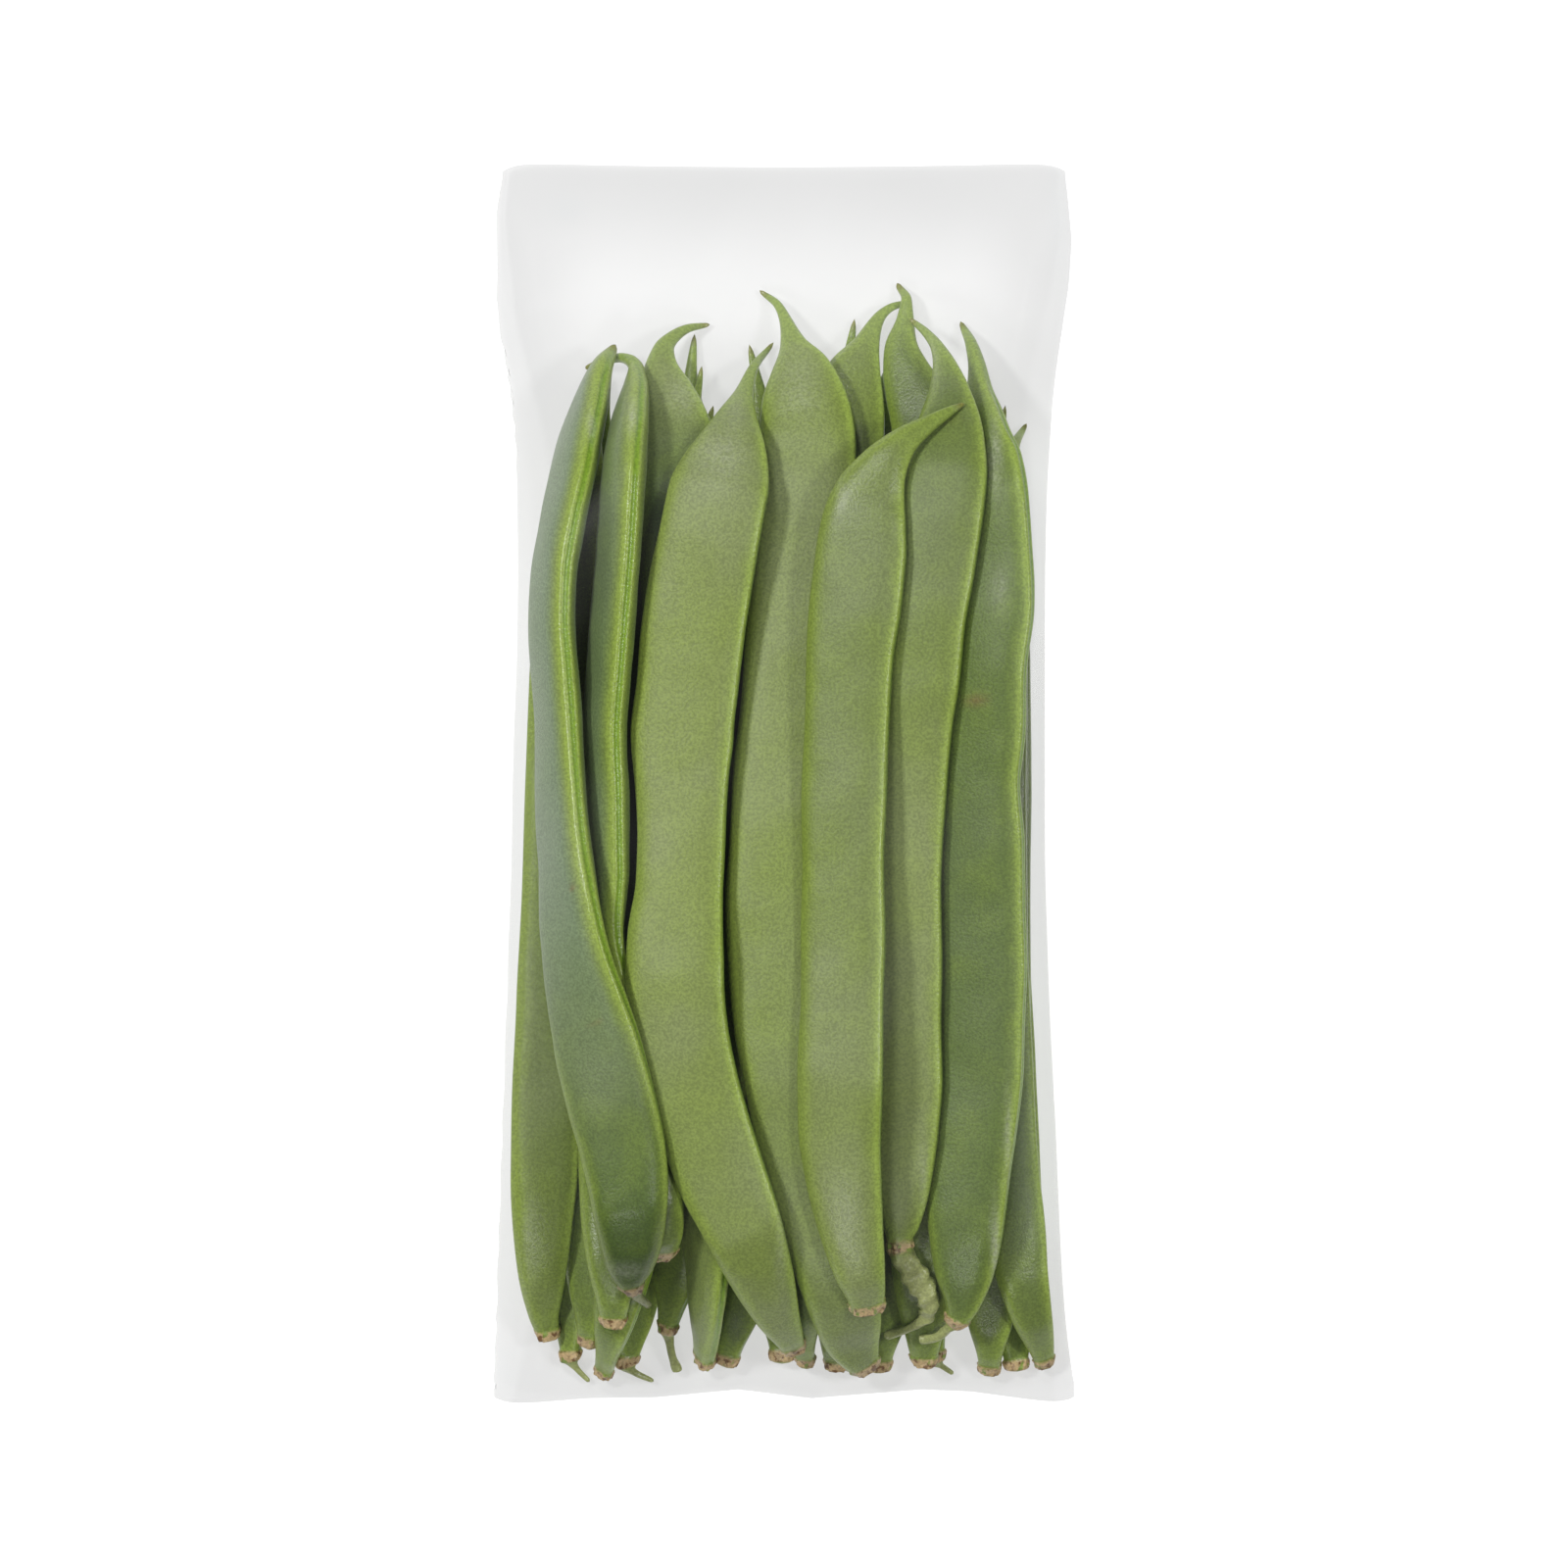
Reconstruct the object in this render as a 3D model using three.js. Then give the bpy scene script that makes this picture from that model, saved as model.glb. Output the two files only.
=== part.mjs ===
// A bundle of flat green beans in a clear film bag, lying on its back.
//
// Millimetres, +Z up, +Y towards the bag's mouth, where the beans' beaks point. The origin is on the
// surface that the bag lies on, under the middle of the bag.
//
// The beans are laid one by one, from the back film upwards. Each has a route over the surface, read as
// [x, y, face width] from its stalk to the tip of its beak. How high it lies follows from what is under it.
import * as THREE from "three";

// Driving dimensions.
const BAG_HALF_LENGTH = 127;
const FILM = 0.6; // the film's modelled thickness; the real one is about 0.05
const FILM_CLEAR = 0.5; // between the film and the nearest bean
const BEAN_GAP = 0.5; // between one bean and the next one on top of it
const BEAN_THICKNESS = 5.6;
const PLUMP = 7.8; // the thickness of the beans whose seeds have grown most
const EDGE_SOFTNESS = 6; // mm of width over which a bean reaches its full thickness

// A bean's cross-section, in halves of its width and thickness. The blunt side is the seam that splits
// open, and the other side is the plain back edge.
const SECTION = [
  [1.0, 0.22],
  [0.8, 0.74],
  [0.1, 1.0],
  [-0.72, 0.8],
  [-1.0, 0.0],
  [-0.72, -0.8],
  [0.1, -1.0],
  [0.8, -0.74],
  [1.0, -0.22],
];

const rad = THREE.MathUtils.degToRad;

// A value at y from a short list of [y, value] pairs, which run upwards in y.
function along(pairs, y) {
  if (y <= pairs[0][0]) return pairs[0][1];
  for (let i = 1; i < pairs.length; i++) {
    const [y0, v0] = pairs[i - 1];
    const [y1, v1] = pairs[i];
    if (y <= y1) return v0 + ((v1 - v0) * (y - y0)) / (y1 - y0);
  }
  return pairs[pairs.length - 1][1];
}

// A bean that is mostly hidden: an even pod from its stalk to its beak, which bows sideways in the
// middle and hooks over at the tip.
function plainRoute({ stem, middle, tip, width, hook }) {
  const shape = [
    [0.0, 0.22],
    [0.02, 0.34],
    [0.05, 0.56],
    [0.1, 0.78],
    [0.18, 0.93],
    [0.3, 1.0],
    [0.5, 0.97],
    [0.62, 1.0],
    [0.74, 0.98],
    [0.83, 0.86],
    [0.89, 0.62],
    [0.93, 0.36],
    [0.965, 0.16],
    [1.0, 0.06],
  ];
  const bow = middle - (stem[0] + tip[0]) / 2;
  return shape.map(([t, w]) => {
    const beak = Math.max(0, (t - 0.86) / 0.14);
    const x = stem[0] + (tip[0] - hook - stem[0]) * t + bow * Math.sin(Math.PI * t) + hook * beak * beak;
    const y = stem[1] + (tip[1] - stem[1]) * t;
    return [x, y, width * w];
  });
}

// The beans, in the order in which they are laid. roll is in degrees at places along y: 0 lies on its
// face, and a positive roll lifts the seam, which is on the side of +X, towards the viewer.
const BEANS = [
  {
    name: "bean_back_far_left",
    route: plainRoute({ stem: [-43.6, -117.5], middle: -43, tip: [-37, 79], width: 16, hook: 3 }),
    stalk: [[-42.4, -119.4, 1.3], [-40, -121.9, 0.9]],
    roll: [[-118, 30], [-60, 6], [80, 4]],
  },
  {
    name: "bean_back_left",
    route: plainRoute({ stem: [-32, -118.8], middle: -24, tip: [-14.8, 76], width: 17, hook: 3 }),
    stalk: [[-30.4, -120.3, 1.4], [-27, -121.9, 0.9]],
    roll: [[-118, -20], [-60, -4], [80, 3]],
  },
  {
    name: "bean_back_middle",
    route: plainRoute({ stem: [-0.4, -118], middle: -3, tip: [-6.8, 88.4], width: 17, hook: -3 }),
    roll: [[-118, 12], [-40, 2], [80, -3]],
  },
  {
    name: "bean_back_right",
    route: plainRoute({ stem: [31, -118], middle: 17.5, tip: [24.5, 92], width: 17, hook: 4 }),
    stalk: [[32.2, -118.9, 1.2], [34.4, -120.4, 0.9]],
    roll: [[-118, 24], [-60, 3], [80, -4]],
  },
  {
    name: "bean_back_far_right",
    route: plainRoute({ stem: [47.6, -119.6], middle: 40, tip: [41, 80], width: 17, hook: -3 }),
    roll: [[-118, -16], [-60, -3], [80, 0]],
  },
  {
    name: "bean_inner_left",
    route: plainRoute({ stem: [-40, -114.6], middle: -36, tip: [-36, 82], width: 16, hook: 2 }),
    roll: [[-118, 40], [-70, -6], [80, -6]],
  },
  {
    name: "bean_inner_middle",
    route: plainRoute({ stem: [-23.8, -111.6], middle: -14, tip: [-18.4, 90.6], width: 17, hook: 3 }),
    stalk: [[-23.5, -113.2, 2.2], [-22.9, -116.6, 1.6], [-21.8, -119.8, 2.1]],
    roll: [[-112, 40], [-70, 5], [80, 2]],
  },
  {
    name: "bean_inner_centre",
    route: plainRoute({ stem: [-11.8, -118.6], middle: 6.5, tip: [14.2, 93.6], width: 17, hook: 2 }),
    roll: [[-118, 20], [-70, -4], [80, 4]],
  },
  {
    name: "bean_inner_right",
    route: plainRoute({ stem: [19.4, -119.8], middle: 26.5, tip: [30, 84], width: 17, hook: -3 }),
    roll: [[-118, -24], [-70, 4], [80, 4]],
  },
  {
    name: "bean_inner_low_left",
    route: plainRoute({ stem: [-37, -120.6], middle: -19.6, tip: [-17, 84], width: 15, hook: 3 }),
    roll: [[-118, 30], [-70, 4], [80, -2]],
  },
  {
    name: "bean_inner_far_right",
    route: plainRoute({ stem: [42, -120.2], middle: 44, tip: [45, 76], width: 16, hook: 3 }),
    roll: [[-118, 10], [-70, 3], [80, 6]],
  },
  {
    name: "bean_low_left",
    route: [
      [-48, -113.2, 3.6],
      [-49, -108, 6.4],
      [-49.3, -100, 9.6],
      [-49.2, -90, 12],
      [-48.8, -80, 13.6],
      [-48.4, -65, 14],
      [-48, -45, 13],
      [-47, -25, 13],
      [-46, 0, 13.4],
      [-45, 25, 13.4],
      [-43.6, 45, 12.6],
      [-41.4, 60, 10.4],
      [-39.6, 70, 5],
      [-36.6, 78, 1.1],
    ],
    roll: [[-113, 0], [-60, -8], [-20, -10], [60, -10]],
  },
  {
    name: "bean_low_inner_left",
    route: [
      [-34.8, -110.4, 3.8],
      [-34.7, -105, 7],
      [-34.9, -98, 10],
      [-35, -88, 12.6],
      [-35, -75, 13.6],
      [-34.6, -55, 14],
      [-34.2, -25, 14],
      [-34, 5, 14],
      [-32.4, 35, 14],
      [-29.4, 55, 13.6],
      [-28.2, 68, 11],
      [-29, 77, 5.6],
      [-31, 84, 1.1],
    ],
    roll: [[-110, 6], [-60, 4], [60, 0]],
  },
  {
    name: "bean_second_left",
    route: [
      [-16.4, -118.4, 4],
      [-16.2, -114, 7],
      [-16, -106, 11],
      [-15.8, -94, 14.6],
      [-15.6, -78, 16.8],
      [-16, -55, 17.8],
      [-17.4, -25, 18],
      [-18.6, 5, 18],
      [-19.8, 35, 18],
      [-21.4, 58, 18],
      [-22.4, 69, 17.4],
      [-23.4, 75, 15],
      [-24.2, 80, 11.4],
      [-25, 85, 7],
      [-24.4, 89, 4.2],
      [-22.2, 91.6, 2.6],
      [-19.2, 93.2, 1.7],
      [-15.8, 93.8, 0.9],
    ],
    roll: [[-118, 62], [-95, 55], [-60, 12], [20, 2], [80, 0]],
  },
  {
    name: "bean_second_right",
    route: [
      [10.8, -119.2, 4],
      [10.8, -113, 7.4],
      [10.9, -104, 11.4],
      [11.1, -90, 14.2],
      [11.4, -70, 15.4],
      [11.6, -40, 15.8],
      [11.6, -5, 16],
      [11.6, 30, 16.4],
      [11.6, 58, 17],
      [11.8, 69, 17.2],
      [12.2, 75, 16.8],
      [13.2, 80, 14.6],
      [14.8, 85, 10.4],
      [17, 90, 5.4],
      [18.2, 93, 3.6],
      [19.9, 95.8, 2.3],
      [22.4, 97.6, 1.6],
      [25.6, 98.4, 0.9],
    ],
    roll: [[-118, 10], [-60, 0], [80, 5]],
  },
  {
    name: "bean_second_middle",
    route: plainRoute({ stem: [4.4, -118.6], middle: -2.2, tip: [-2, 84], width: 14, hook: -2 }),
    roll: [[-118, 14], [-70, 2], [80, 2]],
  },
  {
    name: "bean_right_rim",
    route: [
      [53.4, -118.8, 3],
      [52.7, -115.6, 5],
      [50.7, -109, 8],
      [48.6, -100, 10.6],
      [47, -90, 12.4],
      [45.4, -78, 13],
      [44.4, -60, 13],
      [43.4, -35, 12.8],
      [43, -5, 12.8],
      [43.2, 25, 12.8],
      [43, 45, 12],
      [43, 57, 9.6],
      [45.4, 65, 5],
      [47.2, 69.6, 2.2],
      [49.2, 73, 0.9],
    ],
    roll: [[-118, -8], [-40, 4], [60, 8]],
  },
  {
    name: "bean_second_far_right",
    route: [
      [28.6, -118.6, 4],
      [28.6, -113, 7.4],
      [28.4, -104, 11.4],
      [28.2, -90, 14],
      [28, -70, 15],
      [28, -40, 15.4],
      [28.2, -5, 15.4],
      [29, 30, 15.8],
      [30.6, 58, 17],
      [30.6, 69, 16.6],
      [28.8, 75, 14.4],
      [26.6, 80, 12],
      [24.8, 85, 9.2],
      [24, 90, 6.4],
      [24.8, 95, 3.6],
      [25, 99, 2.2],
      [23.4, 101.8, 1.1],
    ],
    roll: [[-118, 8], [-60, 4], [80, 2]],
  },
  {
    name: "bean_front_right",
    thick: 6.6,
    route: [
      [35.4, -108.6, 5.2],
      [36.4, -105, 8],
      [36.7, -100, 11.8],
      [37, -90, 15.4],
      [37.4, -80, 17.2],
      [38.6, -68, 18.4],
      [39.4, -58, 19],
      [39.8, -47, 19],
      [40, -36, 19.6],
      [40, -24, 18.8],
      [39.8, -12, 19],
      [39.4, 0, 18],
      [40, 12, 19.2],
      [40.6, 24, 18.4],
      [41.6, 36, 19.6],
      [41.8, 48, 18.8],
      [41.8, 58, 17.8],
      [41.6, 65, 15.8],
      [40.8, 70, 12.4],
      [40.4, 75, 8.8],
      [39.8, 80, 5.8],
      [39.4, 85, 3.8],
      [38.2, 90, 2.4],
      [36.4, 93.8, 1],
    ],
    stalk: [[33.4, -111, 2.2], [30.6, -113, 1.8], [28, -113.4, 2]],
    roll: [[-108, 6], [-80, 12], [-40, 20], [40, 24], [70, 40], [94, 40]],
  },
  {
    name: "bean_front_middle",
    route: [
      [17, -119.4, 4.6],
      [15.8, -117.6, 7.4],
      [14.2, -114.4, 10.6],
      [13.2, -110, 13.4],
      [11, -100, 16.4],
      [8, -89, 17.8],
      [5.6, -79, 18.4],
      [3.4, -69, 19.2],
      [1.4, -59, 19.2],
      [-0.2, -49, 19.8],
      [-1.6, -37, 19.4],
      [-2, -25, 19.8],
      [-1.4, -12, 19.2],
      [-0.4, 2, 19.8],
      [1, 16, 19.4],
      [2.2, 30, 20],
      [3.4, 44, 19.6],
      [4.4, 58, 20],
      [4.8, 69, 19.8],
      [4.5, 75, 18.8],
      [3.9, 80, 16.6],
      [3.2, 85, 12],
      [1.8, 90, 5.4],
      [0.2, 95, 2.5],
      [-1.4, 98, 1.7],
      [-4.4, 100.4, 0.9],
    ],
    roll: [[-120, 2], [0, 5], [90, 6]],
  },
  {
    name: "bean_left_on_edge",
    thick: PLUMP,
    route: [
      [-24.8, -95.6, 4.2],
      [-25, -92.4, 8.4],
      [-26.6, -85, 12],
      [-28.4, -77, 13.2],
      [-31, -66, 13.8],
      [-33.6, -54, 14],
      [-35.8, -42, 14.2],
      [-37.4, -30, 14.8],
      [-36.1, -17, 15.4],
      [-36, -4, 16],
      [-36.5, 10, 16.4],
      [-35.7, 22, 16.8],
      [-34.8, 34, 17],
      [-33.8, 46, 17],
      [-32.8, 61, 16.4],
      [-32, 70, 13.8],
      [-31, 77, 9.4],
      [-30.2, 82, 5],
      [-30.2, 84.6, 3.2],
      [-31.4, 86.4, 2.2],
      [-33.4, 87, 1.7],
      [-35.6, 86.7, 1.5],
      [-38, 86, 1.2],
      [-40.2, 85.1, 0.8],
    ],
    roll: [[-95, 4], [-66, 10], [-54, 30], [-42, 50], [-25, 66], [-8, 72], [20, 73], [88, 72]],
  },
  {
    name: "bean_front_left",
    route: [
      [2.2, -115.6, 3.6],
      [1, -113, 6],
      [-0.8, -109.6, 8.4],
      [-4.6, -100, 13.2],
      [-8.4, -90, 16.2],
      [-12.6, -80, 18.2],
      [-16, -70, 18.6],
      [-18.8, -60, 18.8],
      [-21, -50, 19.4],
      [-22.2, -40, 20.2],
      [-22, -30, 19.4],
      [-21.2, -20, 17.8],
      [-20.8, -9, 18],
      [-20.8, 1, 19.2],
      [-20.7, 10, 21],
      [-19.6, 20, 20.8],
      [-18.6, 30, 21.2],
      [-17.1, 40, 21.2],
      [-15.2, 50, 20.6],
      [-13.2, 60, 20.2],
      [-11.8, 65, 17.8],
      [-10.6, 70, 13.4],
      [-9.6, 75, 8],
      [-8, 80, 3.8],
      [-6.2, 85, 2],
      [-2.8, 89.4, 0.9],
    ],
    roll: [[-116, 8], [-40, 9], [90, 8]],
  },
  {
    name: "bean_left_rim",
    thick: PLUMP,
    route: [
      [-31, -102, 4.4],
      [-31.4, -98.4, 9.4],
      [-31.2, -93, 12.8],
      [-31.4, -85, 15.4],
      [-32.6, -75, 17.2],
      [-35, -65, 18.2],
      [-37.6, -55, 18.8],
      [-40, -45, 19],
      [-42.2, -35, 18.8],
      [-43.6, -25, 19],
      [-44.6, -14, 18.4],
      [-45.4, -2, 18.6],
      [-45.8, 10, 18],
      [-46.6, 22, 18.4],
      [-47.2, 33, 18],
      [-46.8, 43, 18.4],
      [-45.2, 53, 18.2],
      [-43.2, 62, 17.4],
      [-41.6, 70, 15],
      [-40, 76, 11.6],
      [-38.6, 81, 8],
      [-37, 85.4, 4.6],
      [-34.8, 89, 1.4],
    ],
    stalk: [[-29.6, -104.4, 2], [-27.8, -106, 1.6]],
    roll: [[-102, 0], [-70, 6], [-55, 22], [-40, 44], [-20, 62], [5, 70], [50, 74], [88, 70]],
  },
  {
    name: "bean_front_inner_right",
    route: [
      [23.6, -93.2, 5],
      [23.8, -90, 7.6],
      [23.8, -85, 10.8],
      [23.7, -79, 13.2],
      [23.8, -70, 15.4],
      [24, -60, 16.6],
      [23.9, -48, 16.2],
      [23.8, -36, 16.8],
      [23.8, -24, 16.4],
      [24.2, -12, 16.2],
      [24.8, 0, 16.8],
      [26, 11, 16.4],
      [27.2, 22, 17.2],
      [28.4, 33, 17],
      [30, 44, 17.8],
      [31.6, 54, 17.6],
      [32.8, 63, 17],
      [33.4, 70, 15],
      [33.7, 75, 12.2],
      [33.6, 80, 8.6],
      [32.8, 85, 5.2],
      [31.2, 89.2, 2.8],
      [28.9, 92.2, 1.8],
      [26.2, 94.6, 0.9],
    ],
    stalk: [[24, -95.6, 5.2], [26.6, -100, 5], [29.4, -105.4, 4.6], [29, -108.4, 3], [25.6, -111, 1.6], [21, -112.6, 1.8]],
    roll: [[-94, 6], [0, 8], [94, 9]],
  },
  {
    name: "bean_front_top",
    route: [
      [17, -107, 6.2],
      [16.7, -104.4, 7.6],
      [15.6, -100, 10],
      [13.6, -90, 13.2],
      [12.1, -80, 15.4],
      [11.3, -70, 16.8],
      [11.4, -58, 17.4],
      [11.8, -44, 16.8],
      [12, -30, 17.2],
      [12, -16, 16.6],
      [12.2, -2, 17.4],
      [12.8, 12, 17.2],
      [13.4, 26, 17.8],
      [14.6, 37, 18.8],
      [15.6, 46, 18.6],
      [16.4, 54, 17],
      [18, 60, 14],
      [20.6, 65, 9.8],
      [24.6, 69.8, 6],
      [30, 73.6, 3.4],
      [33.6, 75.8, 2.1],
      [36.2, 77.2, 0.9],
    ],
    roll: [[-107, 4], [-60, 9], [50, 10], [77, 4]],
  },
];

// How far the bag's two sides stand from its middle at places along y, and the height of its mid-line,
// where the film turns from the front to the back.
const LEFT_REACH = [
  [-127, 59.2],
  [-124, 59.4],
  [-101, 58.6],
  [-70, 57.6],
  [-20, 55.8],
  [9, 55.2],
  [60, 54.4],
  [79, 55.8],
  [88, 57.4],
  [99, 59.2],
  [117, 58.8],
  [127, 57],
];
const RIGHT_REACH = [
  [-127, 59],
  [-124, 59.4],
  [-112, 57.6],
  [-99, 56.6],
  [-70, 55.4],
  [-47, 54.2],
  [-16, 53.2],
  [60, 53.6],
  [81, 55],
  [102, 58.2],
  [111, 58.8],
  [127, 57],
];
const BAG_MID_HEIGHT = [
  [-127, 5],
  [-118, 8],
  [-100, 13],
  [60, 13],
  [95, 6],
  [127, 1.6],
];

// The crown of the film over the empty end of the bag, which lies nearly flat at the mouth.
const COLLAR_CROWN = [
  [80, 17],
  [96, 11],
  [112, 6],
  [127, 2.6],
];
const COLLAR_START = 80;
const COLLAR_SHOULDER = [0.7, 0.8]; // the share of a side's reach, and of the crown's height

// The welded bottom edge of the bag, which the beans' ends push into waves: [x, how far it draws in].
const BOTTOM_WAVE = [
  [-59.4, 0],
  [-40, 1.6],
  [-26, 1.8],
  [-9.4, 3.4],
  [5.6, 1.6],
  [28, 3.4],
  [38, 3],
  [51, 1.2],
  [59.4, 0],
];

// A section's outline in the plane across its bean: half-width, half-thickness and roll give its points
// as [across, up].
function sectionPoints(width, thickness, roll) {
  const c = Math.cos(roll);
  const s = Math.sin(roll);
  return SECTION.map(([p, q]) => {
    const a = (p * width) / 2;
    const b = (q * thickness) / 2;
    return [a * c - b * s, a * s + b * c];
  });
}

function thicknessAt(width, full) {
  return full * (1 - Math.exp(-width / EDGE_SOFTNESS));
}

// The stations of a bean, from the tip of its stalk to the tip of its beak.
function stationsOf(bean) {
  const stalk = (bean.stalk ?? []).slice().reverse();
  return [...stalk, ...bean.route].map(([x, y, width]) => ({
    x,
    y,
    width,
    thickness: thicknessAt(width, bean.thick ?? BEAN_THICKNESS),
    roll: rad(along(bean.roll, y)),
  }));
}

// The same stations with short steps between them, each with its heading over the surface.
function fineStations(stations, step) {
  const fine = [];
  for (let i = 1; i < stations.length; i++) {
    const a = stations[i - 1];
    const b = stations[i];
    const length = Math.hypot(b.x - a.x, b.y - a.y);
    const n = Math.max(1, Math.ceil(length / step));
    const last = i === stations.length - 1 ? 1 : 0;
    for (let k = 0; k < n + last; k++) {
      const t = k / n;
      const mix = (key) => a[key] + (b[key] - a[key]) * t;
      fine.push({
        x: mix("x"),
        y: mix("y"),
        width: mix("width"),
        thickness: mix("thickness"),
        roll: mix("roll"),
        headX: (b.x - a.x) / length,
        headY: (b.y - a.y) / length,
        at: i - 1 + t,
      });
    }
  }
  return fine;
}

// The lowest and highest point of a closed outline at one place across it.
function spanAt(points, across) {
  let low = Infinity;
  let high = -Infinity;
  points.forEach(([a0, u0], i) => {
    const [a1, u1] = points[(i + 1) % points.length];
    if ((a0 <= across && across <= a1) || (a1 <= across && across <= a0)) {
      const t = a1 === a0 ? 0 : (across - a0) / (a1 - a0);
      const up = u0 + (u1 - u0) * t;
      low = Math.min(low, up);
      high = Math.max(high, up);
    }
  });
  return [low, high];
}

// How high the pile stands over each half millimetre of the surface.
const CELL = 0.5;
const PILE_HALF_X = 64;
const PILE_HALF_Y = BAG_HALF_LENGTH + 5;
const CELLS_X = (2 * PILE_HALF_X) / CELL;
const CELLS_Y = (2 * PILE_HALF_Y) / CELL;
const BEAN_FLOOR = FILM + FILM_CLEAR;
const pile = new Float64Array(CELLS_X * CELLS_Y).fill(BEAN_FLOOR - BEAN_GAP);

function cellOf(x, y) {
  return [Math.floor((x + PILE_HALF_X) / CELL), Math.floor((y + PILE_HALF_Y) / CELL)];
}

// Calls visit(low, high, x, y) over the ground that one station covers.
function overSection(station, visit) {
  const points = sectionPoints(station.width, station.thickness, station.roll);
  const reach = Math.max(...points.map(([a]) => Math.abs(a)));
  const steps = Math.max(2, Math.ceil((2 * reach) / (0.8 * CELL)));
  for (let k = 0; k <= steps; k++) {
    const across = (-1 + (2 * k) / steps) * reach * 0.999;
    const [low, high] = spanAt(points, across);
    if (high === -Infinity) continue;
    visit(low, high, station.x + station.headY * across, station.y - station.headX * across);
  }
}

const STIFFNESS = 2500; // rounds of smoothing; the more, the longer the hollows that a bean spans

// Lays a springy bean over the pile: the height of its middle at each fine station. It touches what is
// under it at its highest places, and spans the hollows between them.
function layHeights(fine) {
  const floor = fine.map((station) => {
    let height = 0;
    overSection(station, (low, high, x, y) => {
      const [i, j] = cellOf(x, y);
      for (let di = -1; di <= 1; di++) {
        for (let dj = -1; dj <= 1; dj++) {
          height = Math.max(height, pile[(i + di) * CELLS_Y + j + dj] + BEAN_GAP - low);
        }
      }
    });
    return height;
  });
  const heights = floor.slice();
  const last = heights.length - 1;
  for (let pass = 0; pass < STIFFNESS; pass++) {
    for (let i = 1; i < last; i++) {
      heights[i] = Math.max(floor[i], (heights[i - 1] + heights[i + 1]) / 2);
    }
    heights[0] = Math.max(floor[0], 2 * heights[1] - heights[2]);
    heights[last] = Math.max(floor[last], 2 * heights[last - 1] - heights[last - 2]);
  }
  return heights;
}

// The height of each of a bean's own stations, raised where the bean between two of them would sink.
function stationHeights(stations, fine, heights) {
  const own = stations.map((_, i) => heights[fine.findIndex(({ at }) => at >= i - 1e-9)]);
  const raise = stations.map(() => 0);
  fine.forEach(({ at }, k) => {
    const i = Math.min(Math.floor(at + 1e-9), stations.length - 2);
    const chord = own[i] + (own[i + 1] - own[i]) * (at - i);
    raise[i] = Math.max(raise[i], heights[k] - chord);
    raise[i + 1] = Math.max(raise[i + 1], heights[k] - chord);
  });
  return own.map((height, i) => height + raise[i]);
}

function raisePile(fine) {
  for (const station of fine) {
    overSection(station, (low, high, x, y) => {
      const [i, j] = cellOf(x, y);
      const at = i * CELLS_Y + j;
      pile[at] = Math.max(pile[at], station.z + high);
    });
  }
}

function solidOf(vertices, faces) {
  const geometry = new THREE.BufferGeometry();
  geometry.setAttribute("position", new THREE.Float32BufferAttribute(vertices.flatMap((v) => v.toArray()), 3));
  geometry.setIndex(faces);
  return geometry;
}

// The triangles of a tube over rings of equal length, from vertex number base on. The rings turn
// counter-clockwise as seen from the first one's end.
function tubeFaces(base, ringCount, sides) {
  const faces = [];
  for (let i = 0; i + 1 < ringCount; i++) {
    const a = base + i * sides;
    const b = a + sides;
    for (let j = 0; j < sides; j++) {
      const k = (j + 1) % sides;
      faces.push(a + j, b + j, a + k, a + k, b + j, b + k);
    }
  }
  return faces;
}

const UP = new THREE.Vector3(0, 0, 1);

// One bean's solid, on the heights that its laying gave. Its rings stand square to its route.
function beanSolid(stations) {
  const middles = stations.map(({ x, y, z }) => new THREE.Vector3(x, y, z));
  const rings = stations.map((station, i) => {
    const before = middles[Math.max(0, i - 1)];
    const after = middles[Math.min(middles.length - 1, i + 1)];
    const heading = after.clone().sub(before).normalize();
    const across = heading.clone().cross(UP).normalize();
    const lift = across.clone().cross(heading);
    return sectionPoints(station.width, station.thickness, station.roll).map(([a, u]) =>
      middles[i].clone().addScaledVector(across, a).addScaledVector(lift, u),
    );
  });
  for (const ring of rings) {
    for (const vertex of ring) vertex.z = Math.max(vertex.z, BEAN_FLOOR);
  }
  const last = middles.length - 1;
  const stalkTip = middles[0].clone().lerp(middles[1], -0.12).setZ(middles[0].z);
  const beakTip = middles[last].clone().lerp(middles[last - 1], -0.2).setZ(middles[last].z);
  const sides = SECTION.length;
  const stalkAt = rings.length * sides;
  const beakAt = stalkAt + 1;
  const faces = tubeFaces(0, rings.length, sides);
  for (let j = 0; j < sides; j++) {
    const k = (j + 1) % sides;
    faces.push(stalkAt, j, k, beakAt, last * sides + k, last * sides + j);
  }
  return solidOf([...rings.flat(), stalkTip, beakTip], faces);
}

const BEAN_GREEN = new THREE.MeshStandardMaterial({ color: 0x7c934c, roughness: 0.5, metalness: 0 });
const CLEAR_FILM = new THREE.MeshStandardMaterial({
  color: 0xeef1f0,
  roughness: 0.2,
  metalness: 0,
  transparent: true,
  opacity: 0.2,
});

const FINE_STEP = 0.6;
const bundle = new THREE.Group();
const filled = []; // every fine station that has been laid, for the film to go round

for (const bean of BEANS) {
  const stations = stationsOf(bean);
  const fine = fineStations(stations, FINE_STEP);
  const heights = stationHeights(stations, fine, layHeights(fine));
  stations.forEach((station, i) => {
    station.z = heights[i];
  });
  for (const station of fine) {
    const i = Math.min(Math.floor(station.at + 1e-9), stations.length - 2);
    station.z = heights[i] + (heights[i + 1] - heights[i]) * (station.at - i);
  }
  raisePile(fine);
  filled.push(...fine);
  const mesh = new THREE.Mesh(beanSolid(stations), BEAN_GREEN);
  mesh.name = bean.name;
  bundle.add(mesh);
}

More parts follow.
